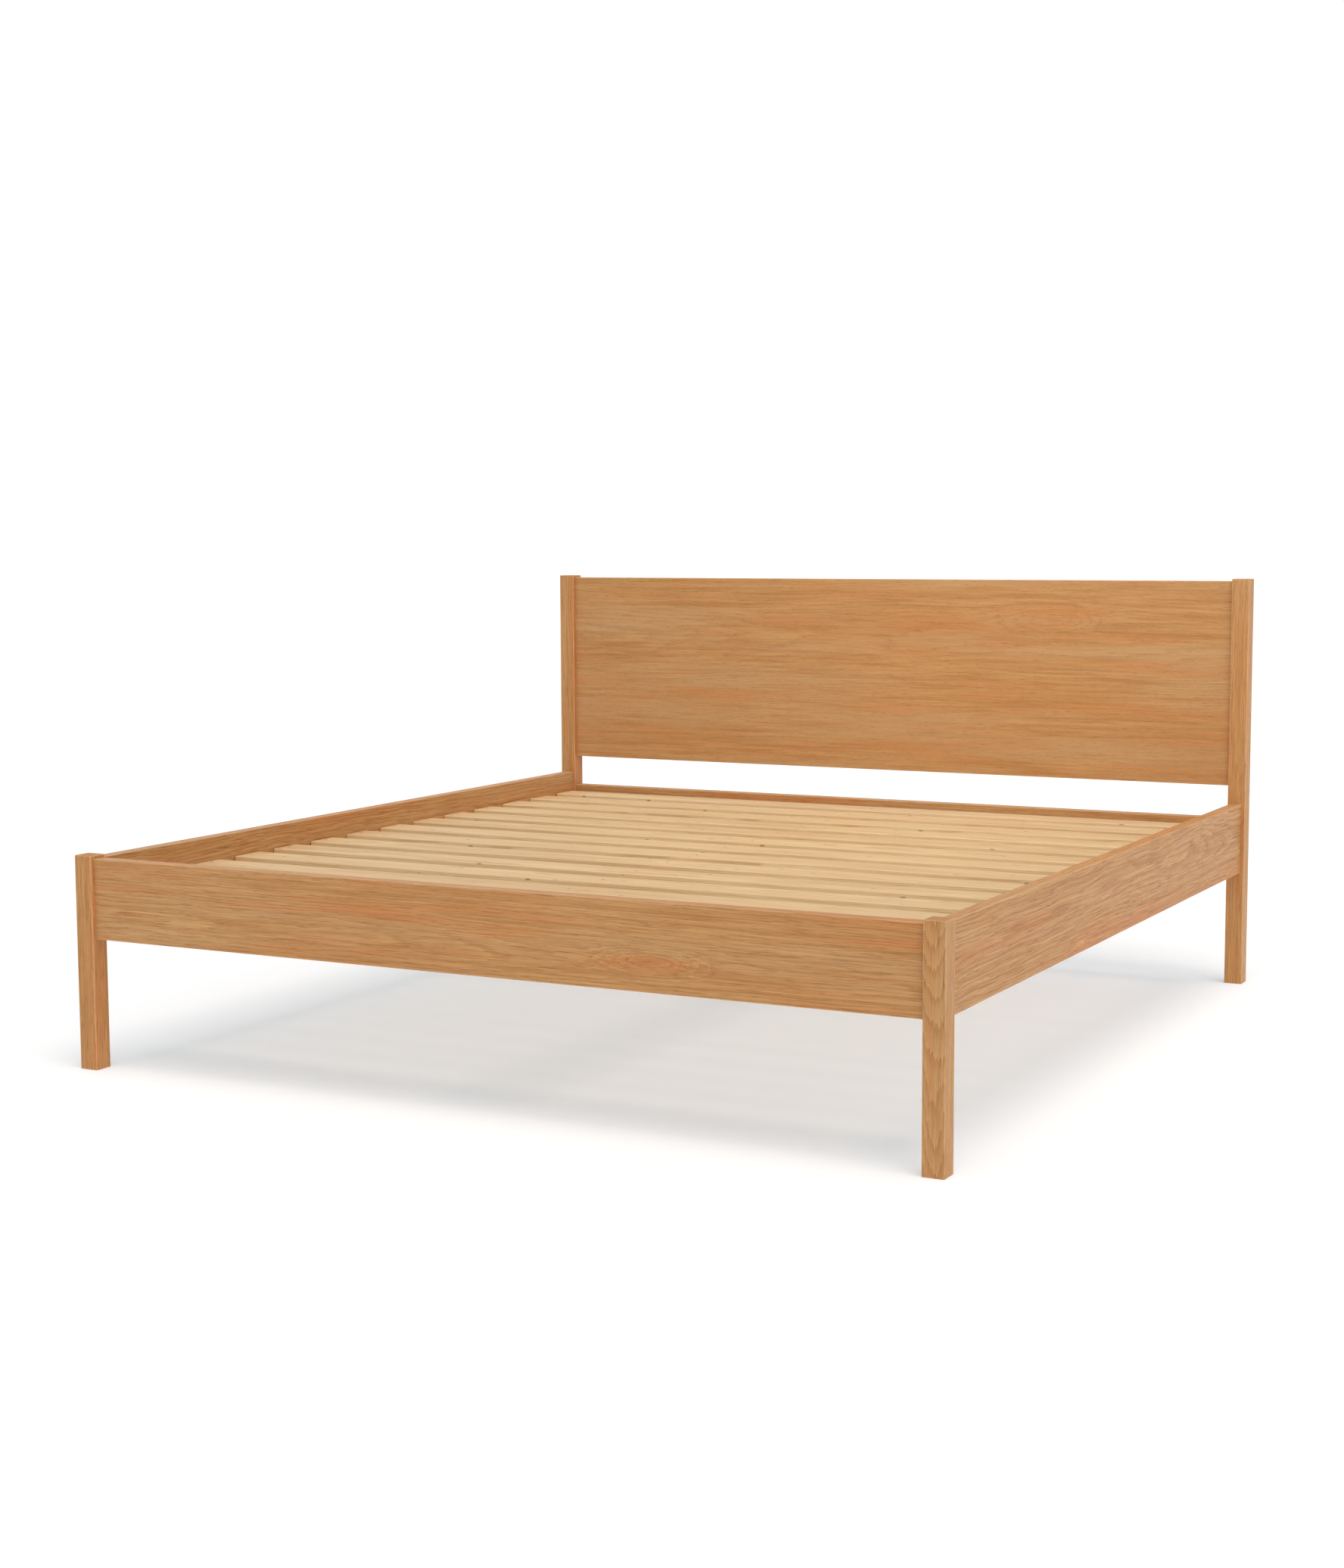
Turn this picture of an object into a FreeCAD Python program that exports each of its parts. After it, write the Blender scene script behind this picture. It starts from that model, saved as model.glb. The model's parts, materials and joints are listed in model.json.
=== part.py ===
import FreeCAD, Part
import os
import Sketcher

# A king-size wooden bed frame that comes apart into a foot end, a headboard
# end, two side rails and a slatted base.
#
# Millimetres. X runs across the bed, +Y runs from the foot to the head and
# +Z is up. The origin is on the floor under the middle of the frame.

DRIVING_DIMENSIONS = [
    # whole frame
    ("overall_width", 2030),
    ("overall_length", 2152),
    # square legs and posts
    ("leg_side", 45.5),
    ("front_leg_height", 475),
    ("head_post_height", 1045),
    ("leg_arris", 2),
    ("foot_chamfer", 1),
    # rails between the legs
    ("rail_thickness", 30),
    ("rail_depth", 178),
    ("rail_underside", 290),
    ("rail_setback", 10),
    ("rail_arris", 1.5),
    ("head_rail_depth", 140),
    # mortise and tenon joints of the two cross rails
    ("tenon_thickness", 12),
    ("tenon_length", 28),
    ("tenon_shoulder", 15),
    ("tenon_shift", 5),
    ("glue_gap", 1),
    # headboard panel, with a tongue along each end
    ("panel_height", 525),
    ("panel_thickness", 22),
    ("panel_setback", 11),
    ("panel_drop", 6),
    ("tongue_thickness", 10),
    ("tongue_length", 12),
    ("tongue_shoulder", 10),
    # slats, their ledges and the centre beam
    ("slat_count", 14),
    ("slat_pitch", 150),
    ("slat_width", 90),
    ("slat_thickness", 18),
    ("slat_top", 413),
    ("slat_end_gap", 2),
    ("slat_arris", 3),
    ("ledge_width", 30),
    ("ledge_depth", 35),
    ("ledge_end_gap", 5),
    ("beam_width", 45),
    ("beam_depth", 100),
    ("beam_end_gap", 1),
    # hook plates on the side rails and slotted plates in the legs
    ("plate_width", 18),
    ("plate_length", 130),
    ("plate_thickness", 2.5),
    ("hook_spacing", 60),
    ("hook_thickness", 3),
    ("hook_arm", 14),
    ("hook_nose", 4),
    ("hook_drop", 7),
    ("hook_lift", 9),
    ("hook_play", 0.3),
    # sheet steel hangers under the ends of the beam
    ("hanger_sheet", 2.5),
    ("hanger_reach", 40),
    ("hanger_height", 80),
    ("hanger_flange", 22),
    ("hanger_screw_count", 2),
    ("hanger_screw_pitch", 40),
    # countersunk wood screws
    ("screw_radius", 2),
    ("screw_head_radius", 4),
    ("screw_rim", 0.4),
    ("screw_tip", 4),
    ("screw_recess", 1.4),
    ("screw_sink", 0.3),
    ("hole_clearance", 0.05),
    ("plate_screw_count", 3),
    ("plate_screw_pitch", 52),
    ("slat_screw_length", 38),
    ("ledge_screw_length", 45),
    ("hook_plate_screw_length", 35),
    ("slot_plate_screw_length", 16),
    ("hanger_screw_length", 25),
]

# Lengths and places worked out from the driving dimensions.
INNER_WIDTH = "(Dims.overall_width - 2 * Dims.leg_side)"
INNER_LENGTH = "(Dims.overall_length - 2 * Dims.leg_side)"
LEG_X = "(Dims.overall_width / 2 - Dims.leg_side / 2)"
LEG_Y = "(Dims.overall_length / 2 - Dims.leg_side / 2)"
RAIL_MIDDLE = "(Dims.rail_underside + Dims.rail_depth / 2)"
HEAD_RAIL_MIDDLE = "(Dims.rail_underside + Dims.head_rail_depth / 2)"
SIDE_RAIL_X = "(Dims.overall_width / 2 - Dims.rail_setback - Dims.rail_thickness / 2)"
FOOT_RAIL_Y = "(-Dims.overall_length / 2 + Dims.rail_setback + Dims.rail_thickness / 2)"
PANEL_Y = "(Dims.overall_length / 2 - Dims.leg_side + Dims.panel_setback + Dims.panel_thickness / 2)"
PANEL_MIDDLE = "(Dims.head_post_height - Dims.panel_drop - Dims.panel_height / 2)"
SLAT_UNDERSIDE = "(Dims.slat_top - Dims.slat_thickness)"
LEDGE_X = f"({SIDE_RAIL_X} - Dims.rail_thickness / 2 - Dims.ledge_width / 2)"
TONGUE_HEIGHT = "(Dims.panel_height - 2 * Dims.tongue_shoulder)"
SLAT_ROW = "((Dims.slat_count - 1) * Dims.slat_pitch)"
FOOT_HANGER_Y = f"({FOOT_RAIL_Y} + Dims.rail_thickness / 2)"
HEAD_HANGER_Y = f"({LEG_Y} - Dims.rail_thickness / 2)"
HANGER_FLANGE_X = "(Dims.beam_width / 2 + Dims.hanger_sheet + Dims.hanger_flange / 2)"
HANGER_MIDDLE = (
    f"({SLAT_UNDERSIDE} - Dims.beam_depth - Dims.hanger_sheet + Dims.hanger_height / 2)"
)

X_AXIS = FreeCAD.Vector(1, 0, 0)
Y_AXIS = FreeCAD.Vector(0, 1, 0)
Z_AXIS = FreeCAD.Vector(0, 0, 1)
SIDES = {"left": -1, "right": 1}

doc = FreeCAD.newDocument("bed_frame")
pieces = []


def fill_sheet():
    """The spreadsheet that holds every driving dimension."""
    table = doc.addObject("Spreadsheet::Sheet", "Dims")
    for row, (alias, value) in enumerate(DRIVING_DIMENSIONS, start=1):
        table.set(f"A{row}", alias)
        table.set(f"B{row}", str(value))
        table.setAlias(f"B{row}", alias)
    doc.recompute()
    return table


def keep(piece, label):
    """Name a finished sub-part and put it on the list of pieces to write."""
    piece.Label = label
    pieces.append(piece)


def bind(feature, **expressions):
    for size, expression in expressions.items():
        feature.setExpression(size, expression)


def place(piece, x, y, z, rotation=FreeCAD.Rotation()):
    """Turn a piece, then move its own origin to x, y, z, given as expressions."""
    piece.Placement = FreeCAD.Placement(FreeCAD.Vector(), rotation)
    for axis, expression in zip("xyz", (x, y, z)):
        piece.setExpression(f"Placement.Base.{axis}", expression)


def origin_feature(body, role):
    return next(f for f in body.Origin.OriginFeatures if f.Role == role)


def outline(body, role, points, offset="0"):
    """Sketch a closed outline whose corners are pairs of expressions.

    The corners start evenly round a circle, and their sizes move them into place.
    """
    sketch = body.newObject("Sketcher::SketchObject", "outline")
    sketch.AttachmentSupport = [(origin_feature(body, role), "")]
    sketch.MapMode = "FlatFace"
    bind(sketch, **{"AttachmentOffset.Base.z": offset})
    turns = [360 * number / len(points) for number in range(len(points))]
    corners = [FreeCAD.Rotation(Z_AXIS, turn).multVec(X_AXIS) for turn in turns]
    for start, end in zip(corners, corners[1:] + corners[:1]):
        sketch.addGeometry(Part.LineSegment(start, end))
    for line, (u, v) in enumerate(points):
        following = (line + 1) % len(points)
        sketch.addConstraint(Sketcher.Constraint("Coincident", line, 2, following, 1))
        for kind, expression in (("DistanceX", u), ("DistanceY", v)):
            size = getattr(corners[line], kind[-1].lower())
            number = sketch.addConstraint(
                Sketcher.Constraint(kind, -1, 1, line, 1, size)
            )
            sketch.renameConstraint(number, f"{kind}{line}")
            bind(sketch, **{f"Constraints.{kind}{line}": expression})
    return sketch


def extrude(body, kind, sketch, length):
    """Pad or Pocket a sketch by half the length on each side of its plane."""
    feature = body.newObject(f"PartDesign::{kind}", kind)
    feature.Profile = sketch
    feature.SideType = "Symmetric"
    bind(feature, Length=length)
    return feature


def block(body, kind, centre, size):
    """Add (Pad) or remove (Pocket) a rectangular block given by expressions."""
    x, y, z = centre
    width, length, height = size
    corners = [
        (f"{x} {i} {width} / 2", f"{y} {j} {length} / 2")
        for i, j in ("--", "+-", "++", "-+")
    ]
    return extrude(body, kind, outline(body, "XY_Plane", corners, z), height)


def edges_along(shape, direction):
    """The names of the straight edges that run along a direction."""
    return [
        f"Edge{number}"
        for number, edge in enumerate(shape.Edges, start=1)
        if edge.tangentAt(edge.FirstParameter).cross(direction).Length < 1e-6
    ]


def edges_at_height(shape, height):
    """The names of the edges that lie in a level plane."""
    return [
        f"Edge{number}"
        for number, edge in enumerate(shape.Edges, start=1)
        if max(abs(edge.BoundBox.ZMin - height), abs(edge.BoundBox.ZMax - height)) < 1e-4
    ]


def board(name, size, arris, grain):
    """A planed board about its own centre, with eased edges along its grain."""
    body = doc.addObject("PartDesign::Body", name)
    blank = block(body, "Pad", ("0", "0", "0"), size)
    doc.recompute()
    fillet = body.newObject("PartDesign::Fillet", "eased_edges")
    fillet.Base = (blank, edges_along(blank.Shape, grain))
    bind(fillet, Radius=arris)
    return body


def drill(blank, holes, label):
    """Cut the rows of screw holes out of a piece, which is then finished."""
    tools = doc.addObject("Part::Compound", "holes")
    tools.Links = holes
    piece = doc.addObject("Part::Cut", "drilled")
    piece.Base = blank
    piece.Tool = tools
    keep(piece, label)


def screw_row(length, count, pitch, start, row, head, clearance=None):
    """A row of countersunk screws, or of their holes where clearance is given.

    start is where the first head is flush, row is the way the row runs and
    head is the way the heads face.
    """
    gap = clearance or "0"
    top = "0" if clearance else "-Dims.screw_sink"
    neck = "(Dims.screw_head_radius - Dims.screw_radius)"
    rim_depth = f"-Dims.screw_sink - Dims.screw_rim - {gap}"
    tip_radius = "Dims.screw_radius / 4"
    profile = [
        ("0", top),
        (f"Dims.screw_head_radius + {gap}", top),
        (f"Dims.screw_head_radius + {gap}", rim_depth),
        (f"Dims.screw_radius + {gap}", f"{rim_depth} - {neck}"),
        (f"Dims.screw_radius + {gap}", f"Dims.screw_tip - {length}"),
        (f"{tip_radius} + {gap}", f"-{length} - {gap}"),
        ("0", f"-{length} - {gap}"),
    ]
    body = doc.addObject("PartDesign::Body", "screws")
    body.AllowCompound = True
    turned = body.newObject("PartDesign::Revolution", "turned")
    turned.Profile = outline(body, "XZ_Plane", profile)
    turned.ReferenceAxis = (origin_feature(body, "Z_Axis"), [""])
    turned.Angle = 360
    repeated = [turned]
    if not clearance:
        arms = ("Dims.screw_head_radius", "Dims.screw_radius / 2")
        for width, depth in (arms, arms[::-1]):
            centre = ("0", "0", top)
            size = (width, depth, "2 * Dims.screw_recess")
            repeated.append(block(body, "Pocket", centre, size))
    pattern = body.newObject("PartDesign::LinearPattern", "row")
    pattern.Originals = repeated
    pattern.Direction = (origin_feature(body, "X_Axis"), [""])
    bind(pattern, Length=f"({count} - 1) * {pitch}", Occurrences=count)
    body.Tip = pattern
    place(body, *start, rotation=FreeCAD.Rotation(row, FreeCAD.Vector(), head, "ZXY"))
    return body


def screw_rows(rows):
    """Each row twice: the screws themselves, and the holes that take them."""
    screws = [screw_row(*row) for row in rows]
    holes = [screw_row(*row, clearance="Dims.hole_clearance") for row in rows]
    return screws, holes


def keep_screws(rows, label):
    """Identical screws stay separate solids in one piece."""
    group = doc.addObject("Part::Compound", "screws")
    group.Links = rows
    keep(group, label)


def leg_blank(name, height):
    """A square leg that stands on its own origin, with eased edges."""
    body = doc.addObject("PartDesign::Body", name)
    size = ("Dims.leg_side", "Dims.leg_side", height)
    blank = block(body, "Pad", ("0", "0", f"{height} / 2"), size)
    doc.recompute()
    top_edges = edges_at_height(blank.Shape, blank.Shape.BoundBox.ZMax)
    fillet = body.newObject("PartDesign::Fillet", "eased_edges")
    fillet.Base = (blank, edges_along(blank.Shape, Z_AXIS) + top_edges)
    bind(fillet, Radius="Dims.leg_arris")
    doc.recompute()
    chamfer = body.newObject("PartDesign::Chamfer", "eased_foot")
    chamfer.Base = (fillet, edges_at_height(fillet.Shape, 0))
    bind(chamfer, Size="Dims.foot_chamfer")
    return body


def cut_mortise(leg, inward, y, z, depth):
    """The blind slot that takes a cross rail's tenon."""
    reach = "(Dims.tenon_length + Dims.glue_gap)"
    centre = (f"{inward} * (Dims.leg_side / 2 - {reach} / 2)", y, z)
    size = (reach, "Dims.tenon_thickness", f"({depth} - 2 * Dims.tenon_shoulder)")
    block(leg, "Pocket", centre, size)


def cut_plate_seat(leg, side, inward):
    """The recess for a slotted plate, and behind it a pocket for each hook."""
    x = f"{side} * (Dims.leg_side / 2 - Dims.rail_setback - Dims.rail_thickness / 2)"
    face = "Dims.leg_side / 2"
    centre = (x, f"{inward} * ({face} - Dims.plate_thickness / 2)", RAIL_MIDDLE)
    size = ("Dims.plate_width", "Dims.plate_thickness", "Dims.plate_length")
    block(leg, "Pocket", centre, size)
    depth = "(Dims.hook_nose + 3 * Dims.hook_play)"
    height = "(Dims.hook_arm + Dims.hook_lift + Dims.hook_drop + Dims.hook_play)"
    for hook in (-1, 1):
        centre = (
            x,
            f"{inward} * ({face} - Dims.plate_thickness - {depth} / 2)",
            f"{RAIL_MIDDLE} + {hook} * Dims.hook_spacing / 2"
            " + (Dims.hook_lift - Dims.hook_drop - Dims.hook_play) / 2",
        )
        block(leg, "Pocket", centre, ("2 * Dims.hook_thickness", depth, height))


def cut_panel_groove(post, inward):
    """The stopped groove that takes the end of the headboard panel."""
    reach = "(Dims.tongue_length + Dims.glue_gap)"
    centre = (
        f"{inward} * (Dims.leg_side / 2 - {reach} / 2)",
        f"{PANEL_Y} - {LEG_Y}",
        PANEL_MIDDLE,
    )
    block(post, "Pocket", centre, (reach, "Dims.tongue_thickness", TONGUE_HEIGHT))


def make_front_leg(name, side, holes):
    leg = leg_blank(f"front_leg_{name}_blank", "Dims.front_leg_height")
    y = f"{FOOT_RAIL_Y} + {LEG_Y} - Dims.tenon_shift"
    cut_mortise(leg, -side, y, RAIL_MIDDLE, "Dims.rail_depth")
    cut_plate_seat(leg, side, 1)
    place(leg, f"{side} * {LEG_X}", f"-{LEG_Y}", "0")
    drill(leg, holes, f"front_leg_{name}")


def make_head_post(name, side, holes):
    post = leg_blank(f"head_post_{name}_blank", "Dims.head_post_height")
    cut_mortise(post, -side, "Dims.tenon_shift", HEAD_RAIL_MIDDLE, "Dims.head_rail_depth")
    cut_plate_seat(post, side, -1)
    cut_panel_groove(post, -side)
    place(post, f"{side} * {LEG_X}", LEG_Y, "0")
    drill(post, holes, f"head_post_{name}")


def make_cross_rail(label, depth, tenon_y, y, z, holes):
    """A rail across the bed, with a tenon on each end."""
    size = (INNER_WIDTH, "Dims.rail_thickness", depth)
    rail = board(f"{label}_blank", size, "Dims.rail_arris", X_AXIS)
    tenon = (
        "Dims.tenon_length",
        "Dims.tenon_thickness",
        f"({depth} - 2 * Dims.tenon_shoulder)",
    )
    for end in (-1, 1):
        x = f"{end} * ({INNER_WIDTH} + Dims.tenon_length) / 2"
        block(rail, "Pad", (x, tenon_y, "0"), tenon)
    place(rail, "0", y, z)
    drill(rail, holes, label)


def make_side_rail(name, side, holes):
    """A rail along the bed, recessed at both ends for its hook plates."""
    size = ("Dims.rail_thickness", INNER_LENGTH, "Dims.rail_depth")
    rail = board(f"side_rail_{name}_blank", size, "Dims.rail_arris", Y_AXIS)
    for end in (-1, 1):
        y = f"{end} * ({INNER_LENGTH} - Dims.plate_thickness) / 2"
        seat = ("Dims.plate_width", "Dims.plate_thickness", "Dims.plate_length")
        block(rail, "Pocket", ("0", y, "0"), seat)
    place(rail, f"{side} * {SIDE_RAIL_X}", "0", RAIL_MIDDLE)
    drill(rail, holes, f"side_rail_{name}")


def make_headboard_panel():
    size = (INNER_WIDTH, "Dims.panel_thickness", "Dims.panel_height")
    panel = board("headboard_panel", size, "Dims.rail_arris", X_AXIS)
    tongue = ("Dims.tongue_length", "Dims.tongue_thickness", TONGUE_HEIGHT)
    for end in (-1, 1):
        x = f"{end} * ({INNER_WIDTH} + Dims.tongue_length) / 2"
        block(panel, "Pad", (x, "0", "0"), tongue)
    place(panel, "0", PANEL_Y, PANEL_MIDDLE)
    keep(panel, "headboard_panel")


def make_ledge(name, side, holes):
    """The batten along a side rail that the slat ends rest on."""
    length = f"({INNER_LENGTH} - 2 * Dims.ledge_end_gap)"
    size = ("Dims.ledge_width", length, "Dims.ledge_depth")
    ledge = board(f"slat_ledge_{name}_blank", size, "Dims.rail_arris", Y_AXIS)
    place(ledge, f"{side} * {LEDGE_X}", "0", f"{SLAT_UNDERSIDE} - Dims.ledge_depth / 2")
    drill(ledge, holes, f"slat_ledge_{name}")


def make_centre_beam(holes):
    """The deep beam under the middle of the slats, carried at both ends."""
    length = f"({HEAD_HANGER_Y} - {FOOT_HANGER_Y} - 2 * Dims.beam_end_gap)"
    size = ("Dims.beam_width", length, "Dims.beam_depth")
    beam = board("centre_beam_blank", size, "Dims.rail_arris", Y_AXIS)
    y = f"({HEAD_HANGER_Y} + {FOOT_HANGER_Y}) / 2"
    place(beam, "0", y, f"{SLAT_UNDERSIDE} - Dims.beam_depth / 2")
    drill(beam, holes, "centre_beam")


def make_slat(number, holes):
    label = f"slat_{number + 1:02d}"
    rail_face = f"({SIDE_RAIL_X} - Dims.rail_thickness / 2)"
    length = f"(2 * ({rail_face} - Dims.slat_end_gap))"
    size = (length, "Dims.slat_width", "Dims.slat_thickness")
    slat = board(f"{label}_blank", size, "Dims.slat_arris", X_AXIS)
    y = f"{number} * Dims.slat_pitch - {SLAT_ROW} / 2"
    place(slat, "0", y, "Dims.slat_top - Dims.slat_thickness / 2")
    drill(slat, holes, label)


def place_at_corner(plate, side, end):
    """Put a plate in the joint between a leg (its -Y side) and a side rail."""
    turn = FreeCAD.Rotation(Z_AXIS, 0 if end < 0 else 180)
    place(plate, f"{side} * {SIDE_RAIL_X}", f"{end} * {INNER_LENGTH} / 2", RAIL_MIDDLE, turn)


def make_hook_plate(corner, side, end, holes):
    """The plate on a rail's end, with two hooks that reach into the leg."""
    plate = doc.addObject("PartDesign::Body", f"hook_plate_{corner}_blank")
    size = ("Dims.plate_width", "Dims.plate_thickness", "Dims.plate_length")
    block(plate, "Pad", ("0", "Dims.plate_thickness / 2", "0"), size)
    throat = "(Dims.plate_thickness + Dims.hook_play)"
    back = f"({throat} + Dims.hook_nose)"
    for hook in (-1, 1):
        sill = f"({hook} * Dims.hook_spacing / 2 - Dims.hook_arm / 2)"
        profile = [
            ("0", f"{sill} + Dims.hook_arm"),
            ("0", sill),
            (f"-{throat}", sill),
            (f"-{throat}", f"{sill} - Dims.hook_drop"),
            (f"-{back} + Dims.hook_nose / 2", f"{sill} - Dims.hook_drop"),
            (f"-{back}", f"{sill} - Dims.hook_drop + Dims.hook_nose / 2"),
            (f"-{back}", f"{sill} + Dims.hook_arm - Dims.hook_nose / 2"),
            (f"-{back} + Dims.hook_nose / 2", f"{sill} + Dims.hook_arm"),
        ]
        extrude(plate, "Pad", outline(plate, "YZ_Plane", profile), "Dims.hook_thickness")
    place_at_corner(plate, side, end)
    drill(plate, holes, f"hook_plate_{corner}")


def make_slot_plate(corner, side, end, holes):
    """The plate let into a leg, with a slot over each hook pocket."""
    plate = doc.addObject("PartDesign::Body", f"slot_plate_{corner}_blank")
    size = ("Dims.plate_width", "Dims.plate_thickness", "Dims.plate_length")
    y = "-Dims.plate_thickness / 2"
    block(plate, "Pad", ("0", y, "0"), size)
    width = "(Dims.hook_thickness + 2 * Dims.hook_play)"
    height = "(Dims.hook_arm + Dims.hook_lift)"
    for hook in (-1, 1):
        z = f"{hook} * Dims.hook_spacing / 2 + Dims.hook_lift / 2"
        block(plate, "Pocket", ("0", y, z), (width, "2 * Dims.plate_thickness", height))
    place_at_corner(plate, side, end)
    drill(plate, holes, f"slot_plate_{corner}")


def make_beam_hanger(name, y, turn, holes):
    """A folded steel stirrup: floor, two cheeks and two screwed flanges."""
    hanger = doc.addObject("PartDesign::Body", f"beam_hanger_{name}_blank")
    sheet_size = "Dims.hanger_sheet"
    reach = "Dims.hanger_reach"
    cheek_x = "(Dims.beam_width + Dims.hanger_sheet) / 2"
    floor_width = "(Dims.beam_width + 2 * Dims.hanger_sheet)"
    floor_z = "-Dims.hanger_height / 2 + Dims.hanger_sheet / 2"
    block(hanger, "Pad", ("0", f"{reach} / 2", floor_z), (floor_width, reach, sheet_size))
    for side in (-1, 1):
        cheek = (sheet_size, reach, "Dims.hanger_height")
        block(hanger, "Pad", (f"{side} * {cheek_x}", f"{reach} / 2", "0"), cheek)
        flange = ("Dims.hanger_flange", sheet_size, "Dims.hanger_height")
        block(hanger, "Pad", (f"{side} * {HANGER_FLANGE_X}", f"{sheet_size} / 2", "0"), flange)
    place(hanger, "0", y, HANGER_MIDDLE, FreeCAD.Rotation(Z_AXIS, turn))
    drill(hanger, holes, f"beam_hanger_{name}")


def slat_screw_rows():
    """One screw at each end of every slat and one into the centre beam."""
    first = f"-{SLAT_ROW} / 2"
    columns = (f"-{LEDGE_X}", "0", LEDGE_X)
    return screw_rows(
        [
            (
                "Dims.slat_screw_length",
                "Dims.slat_count",
                "Dims.slat_pitch",
                (x, first, "Dims.slat_top"),
                Y_AXIS,
                Z_AXIS,
            )
            for x in columns
        ]
    )


def ledge_screw_rows():
    """Screws through each ledge into its rail, in every other slat gap."""
    inner_face = f"({LEDGE_X} - Dims.ledge_width / 2)"
    first = f"Dims.slat_pitch / 2 - {SLAT_ROW} / 2"
    return screw_rows(
        [
            (
                "Dims.ledge_screw_length",
                "(Dims.slat_count / 2)",
                "(2 * Dims.slat_pitch)",
                (f"{side} * {inner_face}", first, f"{SLAT_UNDERSIDE} - Dims.ledge_depth / 2"),
                Y_AXIS,
                X_AXIS * -side,
            )
            for side in SIDES.values()
        ]
    )


def corner_screw_row(side, end, length, head):
    """The screws of one plate, up the middle of a rail's end."""
    first = f"{RAIL_MIDDLE} - (Dims.plate_screw_count - 1) * Dims.plate_screw_pitch / 2"
    start = (f"{side} * {SIDE_RAIL_X}", f"{end} * {INNER_LENGTH} / 2", first)
    return (length, "Dims.plate_screw_count", "Dims.plate_screw_pitch", start, Z_AXIS, head)


def hanger_screw_rows(y, head):
    """The screws down each flange of one hanger."""
    first = f"{HANGER_MIDDLE} - (Dims.hanger_screw_count - 1) * Dims.hanger_screw_pitch / 2"
    face = f"{y} + {head.y} * Dims.hanger_sheet"
    return screw_rows(
        [
            (
                "Dims.hanger_screw_length",
                "Dims.hanger_screw_count",
                "Dims.hanger_screw_pitch",
                (f"{side} * {HANGER_FLANGE_X}", face, first),
                Z_AXIS,
                head,
            )
            for side in SIDES.values()
        ]
    )


def make_corners():
    """The four knock-down joints, with their plates, screws, legs and rails."""
    hook_screws = []
    slot_screws = []
    leg_holes = {}
    rail_holes = {name: [] for name in SIDES}
    for name, side in SIDES.items():
        for end_name, end in (("foot", -1), ("head", 1)):
            corner = f"{end_name}_{name}"
            into_rail = corner_screw_row(side, end, "Dims.hook_plate_screw_length", Y_AXIS * end)
            into_leg = corner_screw_row(side, end, "Dims.slot_plate_screw_length", Y_AXIS * -end)
            rail_screws, holes = screw_rows([into_rail])
            make_hook_plate(corner, side, end, holes)
            rail_holes[name] += holes
            hook_screws += rail_screws
            leg_screws, holes = screw_rows([into_leg])
            make_slot_plate(corner, side, end, holes)
            leg_holes[corner] = holes
            slot_screws += leg_screws
    keep_screws(hook_screws, "hook_plate_screws")
    keep_screws(slot_screws, "slot_plate_screws")
    return leg_holes, rail_holes


def make_frame():
    leg_holes, rail_holes = make_corners()
    slat_screws, slat_holes = slat_screw_rows()
    ledge_screws, ledge_holes = ledge_screw_rows()
    foot_hanger_screws, foot_hanger_holes = hanger_screw_rows(FOOT_HANGER_Y, Y_AXIS)
    head_hanger_screws, head_hanger_holes = hanger_screw_rows(HEAD_HANGER_Y, -Y_AXIS)
    keep_screws(slat_screws, "slat_screws")
    keep_screws(ledge_screws, "ledge_screws")
    keep_screws(foot_hanger_screws + head_hanger_screws, "hanger_screws")

    slat_row_holes = {"left": slat_holes[0], "right": slat_holes[2]}
    for number, (name, side) in enumerate(SIDES.items()):
        make_front_leg(name, side, leg_holes[f"foot_{name}"])
        make_head_post(name, side, leg_holes[f"head_{name}"])
        make_side_rail(name, side, rail_holes[name] + [ledge_holes[number]])
        make_ledge(name, side, [ledge_holes[number], slat_row_holes[name]])

    make_cross_rail(
        "foot_rail",
        "Dims.rail_depth",
        "-Dims.tenon_shift",
        FOOT_RAIL_Y,
        RAIL_MIDDLE,
        foot_hanger_holes,
    )
    make_cross_rail(
        "head_rail",
        "Dims.head_rail_depth",
        "Dims.tenon_shift",
        LEG_Y,
        HEAD_RAIL_MIDDLE,
        head_hanger_holes,
    )
    make_headboard_panel()
    make_centre_beam([slat_holes[1]])
    make_beam_hanger("foot", FOOT_HANGER_Y, 0, foot_hanger_holes)
    make_beam_hanger("head", HEAD_HANGER_Y, 180, head_hanger_holes)
    for number in range(int(sheet.slat_count)):
        make_slat(number, slat_holes)


def check_document():
    """Stop if any object failed, or if any piece isn't sound solids."""
    for item in doc.Objects:
        if {"Invalid", "Error"} & set(item.State):
            raise RuntimeError(f"{item.Name} ({item.Label}) failed: {item.State}")
    for piece in pieces:
        shape = piece.Shape
        if shape.isNull() or not shape.isValid() or not shape.Solids:
            raise RuntimeError(f"{piece.Label} has no valid solid")


def write_pieces():
    os.makedirs("parts", exist_ok=True)
    for piece in pieces:
        piece.Shape.exportStep(f"parts/{piece.Label}.step")
        volume = piece.Shape.Volume / 1000
        print(f"{piece.Label}: {len(piece.Shape.Solids)} solids, {volume:.1f} cm3")


sheet = fill_sheet()
make_frame()
doc.recompute()
check_document()
write_pieces()
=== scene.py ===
import json
import math

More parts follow.
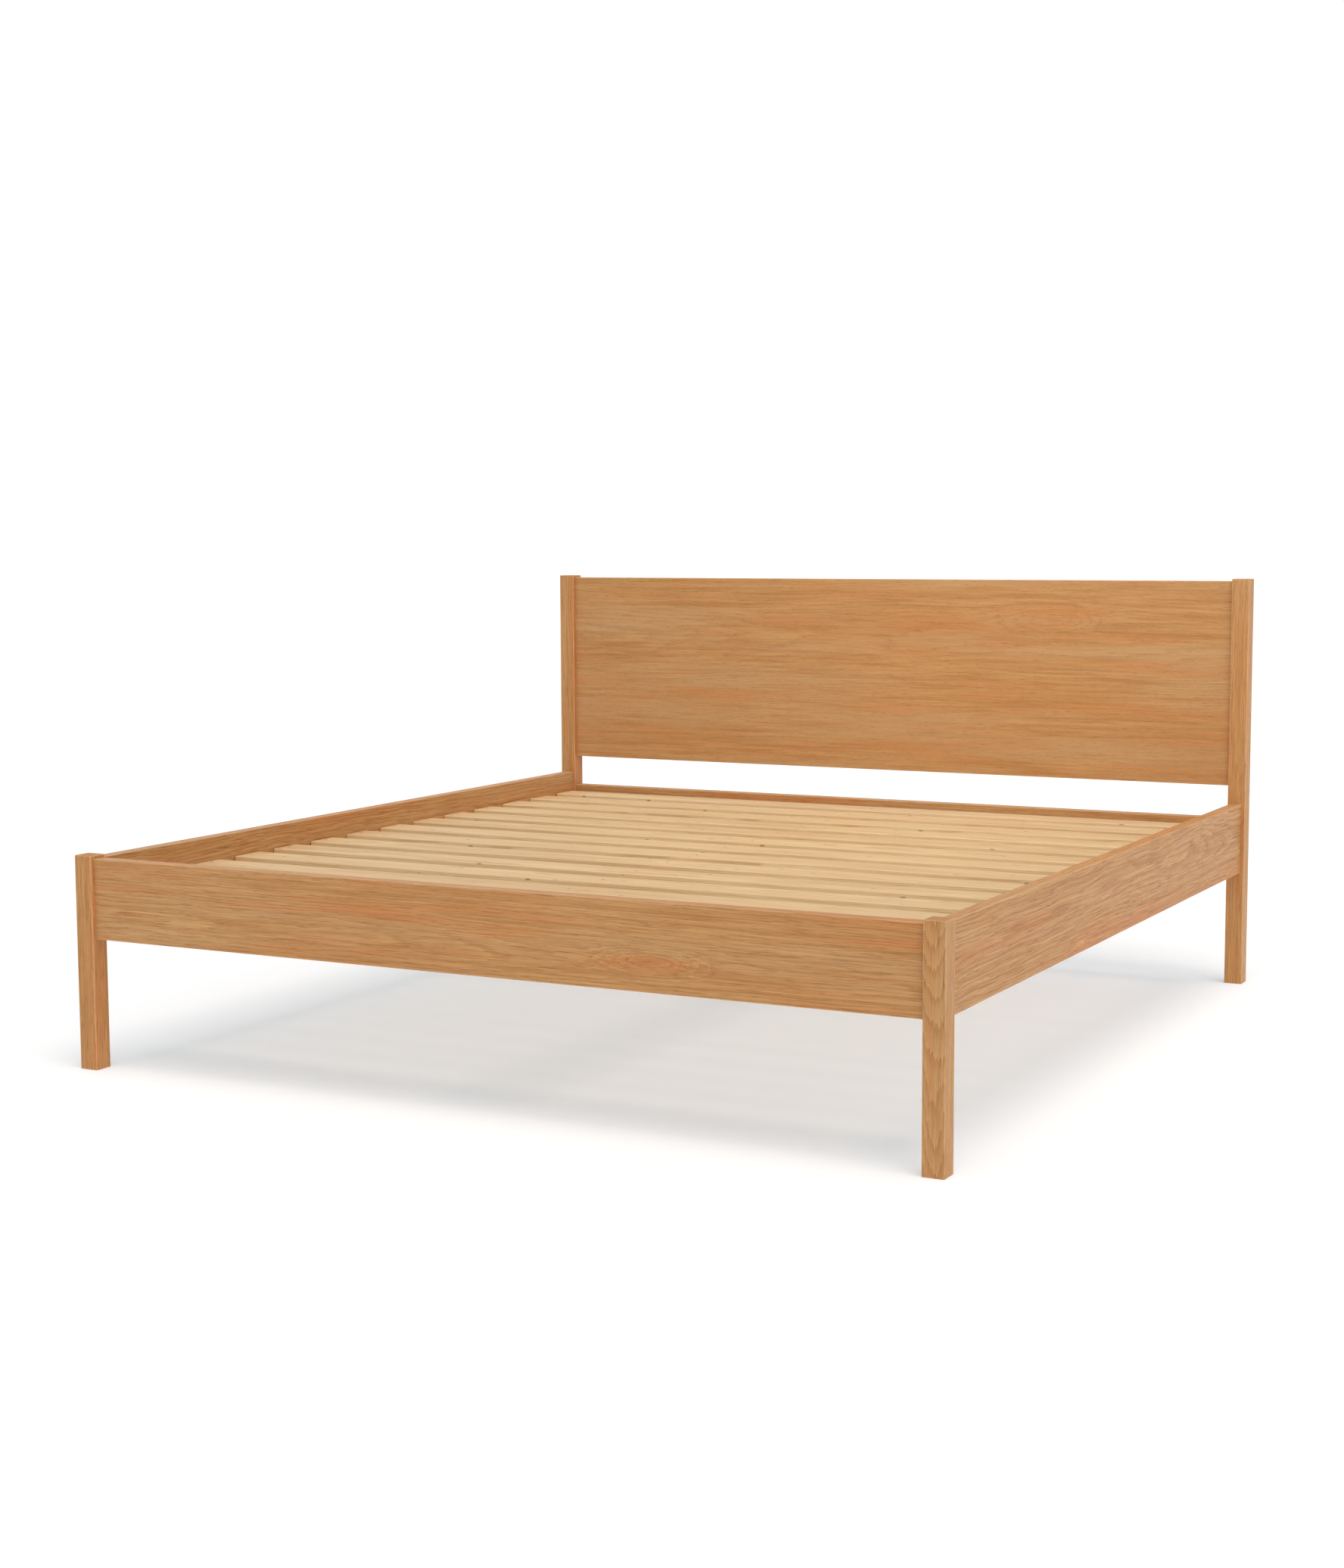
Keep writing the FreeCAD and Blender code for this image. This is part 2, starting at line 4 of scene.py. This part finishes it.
import bpy
from mathutils import Euler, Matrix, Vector


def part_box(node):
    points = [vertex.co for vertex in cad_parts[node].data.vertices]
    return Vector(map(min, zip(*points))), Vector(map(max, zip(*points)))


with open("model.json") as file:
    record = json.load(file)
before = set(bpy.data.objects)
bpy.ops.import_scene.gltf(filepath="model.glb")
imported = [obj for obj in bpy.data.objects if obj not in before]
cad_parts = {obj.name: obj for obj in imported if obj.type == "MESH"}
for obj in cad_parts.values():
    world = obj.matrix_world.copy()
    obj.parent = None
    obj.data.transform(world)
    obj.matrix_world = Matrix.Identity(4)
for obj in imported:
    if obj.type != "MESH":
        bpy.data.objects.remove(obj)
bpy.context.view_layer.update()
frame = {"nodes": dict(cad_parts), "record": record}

# The looks of the wooden bed frame. Every piece is a CAD node, so this script
# gives each of them its material and sets up the floor, the light and the
# camera. Metres, +Z up, the foot end towards -Y.

SLOT_OF = {s["node"]: s["material_slot"] for s in frame["record"]["subparts"]}

# The Mix node has a set of sockets for each kind of data. These are the ones for colours.
MIX_FACTOR = 0
MIX_FIRST = 6
MIX_SECOND = 7
MIX_RESULT = 2


def srgb(red, green, blue):
    """A colour given as 0 to 255 display values, as the linear one shaders use."""
    channels = [c / 255 for c in (red, green, blue)]
    linear = [c / 12.92 if c <= 0.04045 else ((c + 0.055) / 1.055) ** 2.4 for c in channels]
    return (*linear, 1.0)


class Graph:
    """One material's nodes, with a short call for each kind that is used here."""

    def __init__(self, name):
        self.material = bpy.data.materials.new(name)
        self.material.use_nodes = True
        self.tree = self.material.node_tree
        self.surface = self.tree.nodes["Principled BSDF"]

    def add(self, kind, *values, **settings):
        """A node with its settings, and its first inputs linked or set."""
        node = self.tree.nodes.new("ShaderNode" + kind)
        for name, setting in settings.items():
            setattr(node, name, setting)
        for socket, value in zip(node.inputs, values):
            self.feed(socket, value)
        return node

    def feed(self, socket, value):
        """Link a socket to another node's output, or set it to a plain value."""
        if isinstance(value, bpy.types.NodeSocket):
            self.tree.links.new(value, socket)
        else:
            socket.default_value = value

    def set_surface(self, **inputs):
        """Feed the shader's inputs, each named with _ for its spaces."""
        for name, value in inputs.items():
            self.feed(self.surface.inputs[name.replace("_", " ")], value)

    def math(self, operation, *values):
        return self.add("Math", *values, operation=operation).outputs[0]

    def vector(self, operation, *values):
        node = self.add("VectorMath", *values, operation=operation)
        scalar = operation in ("LENGTH", "DOT_PRODUCT")
        return node.outputs["Value" if scalar else "Vector"]

    def split(self, vector):
        return self.add("SeparateXYZ", vector).outputs

    def join(self, x, y, z):
        return self.add("CombineXYZ", x, y, z).outputs[0]

    def noise(self, place, stretch, detail=2.0, roughness=0.5):
        """Smooth noise, 0 to 1, with this many features to the metre each way."""
        node = self.add("TexNoise", self.vector("MULTIPLY", place, stretch))
        node.inputs["Scale"].default_value = 1.0
        node.inputs["Detail"].default_value = detail
        node.inputs["Roughness"].default_value = roughness
        return node.outputs[0]

    def rise(self, value, low, high, bottom=0.0, top=1.0):
        """A smooth step from bottom to top as value goes from low to high."""
        step = self.add("MapRange", value, low, high, bottom, top, interpolation_type="SMOOTHSTEP")
        return step.outputs[0]

    def scale(self, value, factor):
        return self.math("MULTIPLY", value, factor)

    def mix(self, factor, first, second):
        """The first colour where factor is 0, going over to the second where it is 1."""
        node = self.add("Mix", data_type="RGBA")
        self.feed(node.inputs[MIX_FACTOR], factor)
        self.feed(node.inputs[MIX_FIRST], first)
        self.feed(node.inputs[MIX_SECOND], second)
        return node.outputs[MIX_RESULT]

    def bump(self, height, strength, distance):
        """The surface's normal, tilted by a relief this many metres high."""
        node = self.add("Bump")
        node.inputs["Strength"].default_value = strength
        node.inputs["Distance"].default_value = distance
        self.feed(node.inputs["Height"], height)
        return node.outputs["Normal"]


# How a board lies: which of X, Y and Z run along, across and through it, as indices.
ALONG_X = (0, 2, 1)
ALONG_Y = (1, 2, 0)
ALONG_Z = (2, 0, 1)
FLAT_X = (0, 1, 2)

# A pattern is given by how many of its features come to the metre: for wood along, across and
# through the board, and for steel and the floor further down along X, Y and Z.
SWAY_ACROSS = (0.8, 3.5, 3.5)
SWAY_THROUGH = (1.1, 4.5, 4.5)
RIPPLE = (6.0, 22.0, 22.0)
STREAKS = (6.5, 300.0, 300.0)
UNEVEN_YEARS = (3.0, 16.0, 16.0)

# How deep the rings are bent at an eye, and how much the small ripple is of the whole sway.
EYE_DEPTH = 0.015
RIPPLE_SHARE = 0.17


class Board:
    """Where a shader is on one board, and how the log's rings pass through it.

    seed says where in endless wood the board is read. pith is how far across
    and through the board the middle of the log lies, taper is how fast the
    rings drift out of the board along it, and sway is how far the fibres
    wander. reach is how much longer the streaks are than usual. Each eye is a
    spot that the fibres part around: its place along and across the board
    from the middle, and its half length.
    """

    def __init__(
        self, graph, node, lie, seed,
        pith=(0.0, 0.12), taper=0.008, ring_width=0.003, sway=0.010, eyes=(), reach=1.0,
    ):
        g = self.graph = graph
        low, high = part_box(node)
        from_middle = g.vector("SUBTRACT", g.add("TexCoord").outputs["Object"], (low + high) / 2)
        xyz = g.split(from_middle)
        along, across, through = (xyz[axis] for axis in lie)
        self.grain_axis = [1.0 if axis == lie[0] else 0.0 for axis in range(3)]
        self.edge_gap = self.distance_to_edge(from_middle, (high - low) / 2)

        self.eye = 0.0
        for eye in eyes:
            self.eye = g.math("ADD", self.eye, self.eye_shape(along, across, *eye))
        through = g.math("MULTIPLY_ADD", self.eye, EYE_DEPTH, through)
        log = g.vector("ADD", g.join(along, across, through), seed)
        elsewhere = g.vector("ADD", log, (3.7, 1.9, 8.3))
        across = self.wander(across, log, sway, SWAY_ACROSS)
        through = self.wander(through, elsewhere, sway, SWAY_THROUGH)
        across = self.wander(across, log, RIPPLE_SHARE * sway, RIPPLE)
        self.fibre = g.vector("ADD", g.join(g.scale(along, 1 / reach), across, through), seed)
        self.streaks = g.noise(self.fibre, STREAKS, 3.0, 0.6)

        off_pith = g.join(g.math("SUBTRACT", across, pith[0]), g.math("SUBTRACT", through, pith[1]), 0.0)
        radius = g.math("MULTIPLY_ADD", along, taper, g.vector("LENGTH", off_pith))
        uneven = g.scale(g.noise(log, UNEVEN_YEARS, 2.0), 3.0)
        feathered = g.math("MULTIPLY_ADD", self.streaks, 1.1, uneven)
        self.rings = g.math("FRACT", g.math("MULTIPLY_ADD", radius, 1 / ring_width, feathered))

    def wander(self, value, place, distance, stretch):
        """Move a value to and fro by slow noise, by at most this distance each way."""
        g = self.graph
        to_and_fro = g.math("SUBTRACT", g.noise(place, stretch), 0.5)
        return g.math("MULTIPLY_ADD", to_and_fro, 2 * distance, value)

    def eye_shape(self, along, across, along_at, across_at, half_length):
        """A smooth bump, 1 in its middle, that is four times as long as it is wide."""
        g = self.graph
        offset = g.join(
            g.math("MULTIPLY", g.math("SUBTRACT", along, along_at), 1 / half_length),
            g.math("MULTIPLY", g.math("SUBTRACT", across, across_at), 4 / half_length),
            0.0,
        )
        return g.rise(g.vector("LENGTH", offset), 0.0, 1.3, 1.0, 0.0)

    def distance_to_edge(self, from_middle, half_size):
        """How far this point is from the nearest edge of the board, in metres.

        Of the distances to the board's three pairs of faces, it is the middle
        one, since a point on the surface is at no distance from one of them.
        """
        g = self.graph
        x, y, z = g.split(g.vector("SUBTRACT", half_size, g.vector("ABSOLUTE", from_middle)))
        nearer = g.math("MINIMUM", g.math("MAXIMUM", x, y), z)
        return g.math("MAXIMUM", g.math("MINIMUM", x, y), nearer)

    def end_grain(self):
        """1 on the faces that are cut across the fibres, 0 on the others."""
        g = self.graph
        normal = g.add("NewGeometry").outputs["True Normal"]
        square_on = g.math("ABSOLUTE", g.vector("DOT_PRODUCT", normal, self.grain_axis))
        return g.rise(square_on, 0.55, 0.95)


OAK_LIGHT = srgb(214, 167, 113)
OAK_MAIN = srgb(196, 146, 90)
OAK_SHADE = srgb(175, 117, 66)
OAK_PORE = srgb(128, 75, 39)
OAK_RED = srgb(202, 122, 66)
OAK_TAN = srgb(200, 158, 110)
# The colour of the lighter edges: partly rubbed wear, partly a painted highlight along the arrises.
OAK_RUBBED_AND_HIGHLIT = srgb(226, 184, 140)

OAK_BROAD_STREAKS = (3.6, 95.0, 95.0)
OAK_DASHES = (19.0, 480.0, 480.0)
OAK_PORES = (55.0, 1500.0, 1500.0)
OAK_WARM_PATCHES = (1.7, 15.0, 15.0)
OAK_TAN_PATCHES = (1.1, 15.0, 15.0)
OAK_SCUFFS = (30.0, 60.0, 60.0)
OAK_RUBBED_AND_HIGHLIT_WIDTH = (0.0015, 0.0045)  # of the lighter edges, partly rubbed wear and partly painted highlight: the narrowest and the widest
OAK_RELIEF = 0.0004
EYE_WARMTH = 0.22  # added to the warm patches' noise in the middle of an eye


def oak(node, lie, seed, red=0.6, tan=0.45, bold=1.0, figure=0.22, **cut):
    """Satin lacquered oak: ring-porous, with fine dark pores and warm streaky patches.

    red and tan are how strong the patches are, bold the streaks and figure the
    growth rings. cut holds what differs from Board's usual log.
    """
    g = Graph(f"oak.{node}")
    board = Board(g, node, lie, seed, **cut)
    fibre = board.fibre

    broad = g.noise(fibre, OAK_BROAD_STREAKS, 4.0, 0.62)
    fine = board.streaks
    dashes = g.rise(g.noise(fibre, OAK_DASHES, 2.0, 0.5), 0.55, 0.72)
    pore_field = g.noise(fibre, OAK_PORES, 1.0, 0.5)
    early_wood = g.math("SUBTRACT", 1.0, g.rise(board.rings, 0.0, 0.6))
    pores = g.scale(g.rise(pore_field, 0.55, 0.68), g.rise(early_wood, 0.0, 1.0, 0.3, 1.0))
    patches = g.noise(fibre, OAK_WARM_PATCHES, 3.0, 0.55)
    feathered = g.math("MULTIPLY_ADD", g.math("SUBTRACT", broad, 0.5), 0.9, patches)
    warm = g.rise(g.math("MULTIPLY_ADD", board.eye, EYE_WARMTH, feathered), 0.47, 0.70)
    elsewhere = g.vector("ADD", fibre, (5.1, 2.3, 7.7))
    cool = g.rise(g.noise(elsewhere, OAK_TAN_PATCHES, 3.0, 0.5), 0.42, 0.68)

    colour = g.mix(g.rise(broad, 0.30, 0.70), OAK_SHADE, OAK_LIGHT)
    colour = g.mix(0.45, colour, OAK_MAIN)
    colour = g.mix(g.scale(cool, tan), colour, OAK_TAN)
    colour = g.mix(g.scale(warm, red), colour, OAK_RED)
    colour = g.mix(g.scale(early_wood, figure), colour, OAK_SHADE)
    colour = g.mix(g.scale(g.rise(board.rings, 0.72, 0.95), 0.7 * figure), colour, OAK_LIGHT)
    colour = g.mix(g.rise(fine, 0.50, 0.70, 0.0, 0.58 * bold), colour, OAK_SHADE)
    colour = g.mix(g.rise(fine, 0.47, 0.28, 0.0, 0.50 * bold), colour, OAK_LIGHT)
    colour = g.mix(g.scale(dashes, 0.38 * bold), colour, OAK_PORE)
    colour = g.mix(g.scale(pores, 0.50), colour, OAK_PORE)

    end_grain = board.end_grain()
    colour = g.mix(g.scale(end_grain, 0.40), colour, OAK_SHADE)
    scuffs = g.noise(fibre, OAK_SCUFFS, 2.0, 0.6)
    # The edges are painted lighter: partly rubbed wear, partly a painted highlight where the rounded arrises
    # catch the light.
    rubbed_and_highlit_width = g.rise(scuffs, 0.3, 0.7, *OAK_RUBBED_AND_HIGHLIT_WIDTH)
    rubbed_and_highlit_edge = g.math("SUBTRACT", 1.0, g.rise(g.math("DIVIDE", board.edge_gap, rubbed_and_highlit_width), 0.3, 1.0))
    colour = g.mix(g.scale(rubbed_and_highlit_edge, 0.35), colour, OAK_RUBBED_AND_HIGHLIT)

    roughness = g.math("MULTIPLY_ADD", pores, 0.20, g.rise(scuffs, 0.2, 0.8, 0.42, 0.52))
    roughness = g.math("MULTIPLY_ADD", end_grain, 0.12, roughness)
    relief = g.math("MULTIPLY_ADD", pores, -1.0, g.scale(fine, 0.5))
    g.set_surface(
        Base_Color=colour,
        Roughness=roughness,
        Specular_IOR_Level=0.18,
        Normal=g.bump(relief, 0.35, OAK_RELIEF),
    )
    return g.material


PINE_LIGHT = srgb(226, 196, 150)
PINE_MAIN = srgb(217, 182, 132)
PINE_LATE = srgb(186, 138, 88)
PINE_KNOT = srgb(128, 82, 48)

PINE_FIBRES = (30.0, 1300.0, 1300.0)
PINE_PATCHES = (1.6, 9.0, 9.0)
PINE_KNOTS = (2.2, 7.0, 7.0)
PINE_RUBBED_AND_HIGHLIT_WIDTH = (0.0008, 0.004)  # where the lighter edges, partly rubbed wear and partly painted highlight, begin to fade, and where they end
PINE_RELIEF = 0.0003


def pine(node, lie, seed, pith, taper):
    """Planed, unfinished softwood: pale, with a sharp darker line to each ring."""
    g = Graph(f"pine.{node}")
    board = Board(g, node, lie, seed, pith, taper, ring_width=0.0035, sway=0.006)
    fibre = board.fibre

    late_wood = g.scale(g.rise(board.rings, 0.35, 0.88), g.rise(board.rings, 1.0, 0.90))
    fibres = g.noise(fibre, PINE_FIBRES, 1.0, 0.5)
    patches = g.noise(fibre, PINE_PATCHES, 2.0, 0.5)

    colour = g.mix(g.rise(board.streaks, 0.35, 0.65), PINE_MAIN, PINE_LIGHT)
    colour = g.mix(g.rise(patches, 0.45, 0.75, 0.0, 0.35), colour, PINE_LATE)
    colour = g.mix(g.scale(late_wood, 0.55), colour, PINE_LATE)
    knots = g.add("TexVoronoi", g.vector("MULTIPLY", fibre, PINE_KNOTS), feature="F1")
    knot = g.rise(knots.outputs["Distance"], 0.11, 0.05)
    colour = g.mix(g.scale(knot, 0.75), colour, PINE_KNOT)

    end_grain = board.end_grain()
    colour = g.mix(g.scale(end_grain, 0.35), colour, PINE_LATE)
    # The edges are painted lighter: partly rubbed wear, partly a painted highlight along the arrises.
    rubbed_and_highlit_edge = g.math("SUBTRACT", 1.0, g.rise(board.edge_gap, *PINE_RUBBED_AND_HIGHLIT_WIDTH))
    colour = g.mix(g.scale(rubbed_and_highlit_edge, 0.25), colour, PINE_LIGHT)

    relief = g.math("MULTIPLY_ADD", late_wood, 0.6, fibres)
    g.set_surface(
        Base_Color=colour,
        Roughness=g.rise(fibres, 0.2, 0.8, 0.55, 0.72),
        Normal=g.bump(relief, 0.30, PINE_RELIEF),
    )
    return g.material


ZINC_LIGHT = srgb(196, 198, 201)
ZINC_DARK = srgb(150, 153, 158)
YELLOW_ZINC = srgb(206, 184, 128)
YELLOW_ZINC_DARK = srgb(150, 128, 84)

STEEL_HAZE = (90.0, 90.0, 90.0)
STEEL_RUBS = (60.0, 900.0, 900.0)
STEEL_RELIEF = 0.0001


def plated_steel(name, light, dark, grain):
    """Zinc plated steel with rubbing marks and a faint pattern of crystals, grain of them to the metre."""
    g = Graph(name)
    place = g.add("TexCoord").outputs["Object"]
    cells = g.add("TexVoronoi", g.vector("MULTIPLY", place, (grain,) * 3), feature="F1")
    spangle = g.split(cells.outputs["Color"])[0]
    haze = g.noise(place, STEEL_HAZE, 3.0, 0.6)
    rubs = g.noise(place, STEEL_RUBS, 2.0, 0.6)
    tone = g.math("MULTIPLY_ADD", spangle, 0.5, g.scale(haze, 0.5))
    g.set_surface(
        Base_Color=g.mix(tone, dark, light),
        Metallic=1.0,
        Roughness=g.math("MULTIPLY_ADD", rubs, 0.18, g.rise(spangle, 0.0, 1.0, 0.26, 0.38)),
        Normal=g.bump(rubs, 0.15, STEEL_RELIEF),
    )
    return g.material


def dress(node, material):
    """Put a material in every slot of a CAD node."""
    piece = frame["nodes"][node]
    if not piece.material_slots:
        piece.data.materials.append(material)
    for slot in piece.material_slots:
        slot.material = material


# An eye each in the figure of the foot rail and the headboard, right of the middle.
FOOT_RAIL_EYE = (0.404, -0.028, 0.13)
PANEL_EYE = (0.483, 0.168, 0.17)

# Both side rails have long, strong streaks and wide rings that wander.
SIDE_RAIL_OAK = dict(pith=(0.02, 0.10), ring_width=0.004, sway=0.024, reach=2.0, bold=1.6, figure=0.48)


def dress_oak():
    """The oak boards: for each its lie, its place in the log and what differs from plain oak."""
    boards = {
        "foot_rail": (ALONG_X, (2.0, 0.4, 0.7), dict(
            pith=(-0.03, 0.12), eyes=[FOOT_RAIL_EYE], reach=1.3, red=0.65, tan=0.6, bold=1.15, figure=0.30)),
        "headboard_panel": (ALONG_X, (7.0, 1.3, 2.2), dict(
            pith=(0.1, 0.3), eyes=[PANEL_EYE], red=0.38, tan=0.8, bold=0.55, figure=0.14)),
        "head_rail": (ALONG_X, (11.0, 3.1, 1.7), {}),
        "side_rail_left": (ALONG_Y, (5.0, 2.1, 4.4), SIDE_RAIL_OAK),
        "side_rail_right": (ALONG_Y, (17.0, 6.1, 4.4), SIDE_RAIL_OAK),
        "front_leg_right": (ALONG_Z, (4.0, 8.2, 5.5), dict(
            pith=(0.0, 0.06), taper=-0.07, ring_width=0.0036, sway=0.009, bold=0.9, figure=0.48)),
        "front_leg_left": (ALONG_Z, (13.0, 4.4, 9.1), dict(pith=(0.05, 0.06), taper=0.02, bold=1.3)),
        "head_post_right": (ALONG_Z, (21.0, 2.7, 6.2), dict(pith=(0.05, 0.09), red=0.4, tan=0.8)),
        "head_post_left": (ALONG_Z, (29.0, 5.8, 1.2), dict(pith=(-0.05, 0.08), taper=0.01)),
    }
    for node, (lie, seed, character) in boards.items():
        dress(node, oak(node, lie, seed, **character))


# The timbers of the base that run the length of the bed. The slats run across it.
LENGTHWISE = ("centre_beam", "slat_ledge_left", "slat_ledge_right")


def pine_log(number):
    """A different log for each number: its seed, pith and taper, as Board takes them."""
    seed = (3.0 + 4.7 * number, 1.1 + 2.9 * number, 0.6 + 1.7 * number)
    pith = (0.03 * math.sin(2.1 * number), 0.06 + 0.05 * math.cos(1.3 * number))
    taper = 0.012 * math.cos(number)
    return seed, pith, taper


def dress_base():
    """The slats, their ledges and the beam, each cut from its own log."""
    names = sorted(n for n, slot in SLOT_OF.items() if slot == "base_wood")
    for number, node in enumerate(names):
        lie = ALONG_Y if node in LENGTHWISE else FLAT_X
        dress(node, pine(node, lie, *pine_log(number)))


def dress_steel():
    """One plating for all the plates and hangers, and another for all the screws."""
    platings = {
        "bracket_steel": plated_steel("bracket_steel", ZINC_LIGHT, ZINC_DARK, grain=260.0),
        "screw_steel": plated_steel("screw_steel", YELLOW_ZINC, YELLOW_ZINC_DARK, grain=900.0),
    }
    for node, slot in SLOT_OF.items():
        if slot in platings:
            dress(node, platings[slot])


FLOOR_HALF = 60.0  # of the floor's side
FLOOR_MOTTLE = (1.5, 1.5, 1.5)

# The floor is warm white, and glows a little blue-green. That offsets the warm light
# which the wood throws back on it, and keeps it white to the horizon.
FLOOR_DARKER = (0.93, 0.80, 0.72, 1.0)
FLOOR_LIGHTER = (0.95, 0.82, 0.74, 1.0)
FLOOR_GLOW = (0.13, 0.26, 0.34, 1.0)


def make_floor():
    """A plain pale floor that is wide enough to fill the picture."""
    mesh = bpy.data.meshes.new("floor")
    corners = [(-1, -1), (1, -1), (1, 1), (-1, 1)]
    mesh.from_pydata([(x * FLOOR_HALF, y * FLOOR_HALF, 0.0) for x, y in corners], [], [(0, 1, 2, 3)])
    floor = bpy.data.objects.new("floor", mesh)
    bpy.context.scene.collection.objects.link(floor)
    g = Graph("pale_floor")
    place = g.add("TexCoord").outputs["Object"]
    mottle = g.noise(place, FLOOR_MOTTLE, 3.0, 0.5)
    g.set_surface(
        Base_Color=g.mix(mottle, FLOOR_DARKER, FLOOR_LIGHTER),
        Roughness=0.9,
        Emission_Color=FLOOR_GLOW,
        Emission_Strength=1.0,
    )
    floor.data.materials.append(g.material)


WHITE = (1.0, 1.0, 1.0, 1.0)

# Shares of the light that shows a white thing as white.
ROOM_LIGHT = 0.405
KEY_LIGHT = 0.48
FILL_LIGHT = 0.25

# Where the two broad lights come from, and how many degrees across they are.
KEY_FROM = (0.18, -0.18, 1.0)
KEY_WIDTH = 42
FILL_FROM = (0.85, -0.5, 0.4)
FILL_WIDTH = 70

# A weak lamp in front of the headboard, for the light that a white mattress would throw on it.
PANEL_FILL_WATTS = 3.2
PANEL_FILL_SIZE = 1.0
PANEL_FILL_SPREAD = 50
PANEL_FILL_PLACE = Vector((0.55, -2.4, 2.4))
PANEL_FILL_AIM = Vector((0.35, 1.04, 0.75))


def turned_from(direction):
    """The rotation of a lamp whose light comes from this direction."""
    return direction.to_track_quat("Z", "Y").to_euler()


def make_room():
    """A room that is full white to the camera and in reflections, but lights the scene less."""
    world = bpy.data.worlds.new("white_room")
    world.use_nodes = True
    tree = world.node_tree
    room_light = tree.nodes["Background"]
    room_light.inputs["Color"].default_value = WHITE
    room_light.inputs["Strength"].default_value = ROOM_LIGHT
    backdrop = tree.nodes.new("ShaderNodeBackground")
    backdrop.inputs["Color"].default_value = WHITE
    choose = tree.nodes.new("ShaderNodeMixShader")
    ray = tree.nodes.new("ShaderNodeLightPath")
    seen = tree.nodes.new("ShaderNodeMath")
    seen.operation = "MAXIMUM"
    tree.links.new(ray.outputs["Is Camera Ray"], seen.inputs[0])
    tree.links.new(ray.outputs["Is Glossy Ray"], seen.inputs[1])
    tree.links.new(seen.outputs[0], choose.inputs[0])
    tree.links.new(room_light.outputs[0], choose.inputs[1])
    tree.links.new(backdrop.outputs[0], choose.inputs[2])
    tree.links.new(choose.outputs[0], tree.nodes["World Output"].inputs["Surface"])
    bpy.context.scene.world = world


def add_soft_light(name, share, comes_from, width):
    """A far, broad light, width degrees across, that gives this share of full light."""
    light = bpy.data.lights.new(name, "SUN")
    light.energy = share * math.pi
    light.angle = math.radians(width)
    lamp = bpy.data.objects.new(name, light)
    lamp.rotation_euler = turned_from(Vector(comes_from))
    bpy.context.scene.collection.objects.link(lamp)


def add_panel_fill():
    """The lamp for the headboard, unseen by the camera."""
    light = bpy.data.lights.new("headboard_fill", "AREA")
    light.size = PANEL_FILL_SIZE
    light.spread = math.radians(PANEL_FILL_SPREAD)
    light.energy = PANEL_FILL_WATTS
    lamp = bpy.data.objects.new("headboard_fill", light)
    lamp.location = PANEL_FILL_PLACE
    lamp.rotation_euler = turned_from(PANEL_FILL_PLACE - PANEL_FILL_AIM)
    lamp.visible_camera = False
    bpy.context.scene.collection.objects.link(lamp)


# The camera as it was fitted to the photo. Its angles are in radians.
CAMERA_PLACE = (2.5551, -5.0630, 1.1737)
CAMERA_TURN = 0.48375  # to the left of straight up the bed
CAMERA_DIP = 0.10532  # below level
CAMERA_ROLL = -0.00452
LENS_MM = 55.02
LONG_SIDE_MM = 36.0  # of the sensor
CAMERA_REACH = 200.0


def make_camera():
    """The photo's own view of the bed."""
    data = bpy.data.cameras.new("camera")
    data.sensor_width = LONG_SIDE_MM
    data.sensor_fit = "AUTO"
    data.lens = LENS_MM
    data.clip_end = CAMERA_REACH
    camera = bpy.data.objects.new("camera", data)
    turn = Euler((0.0, 0.0, CAMERA_TURN)).to_matrix()
    dip = Euler((math.pi / 2 - CAMERA_DIP, 0.0, 0.0)).to_matrix()
    roll = Euler((0.0, 0.0, CAMERA_ROLL)).to_matrix()
    camera.rotation_euler = (turn @ dip @ roll).to_euler()
    camera.location = CAMERA_PLACE
    bpy.context.scene.collection.objects.link(camera)
    bpy.context.scene.camera = camera


make_camera()
make_floor()
make_room()
add_soft_light("overhead_key", KEY_LIGHT, KEY_FROM, KEY_WIDTH)
add_soft_light("side_fill", FILL_LIGHT, FILL_FROM, FILL_WIDTH)
add_panel_fill()
dress_oak()
dress_base()
dress_steel()
# The colours are display values, so the picture shows them as they are, with no film curve.
bpy.context.scene.view_settings.view_transform = "Standard"
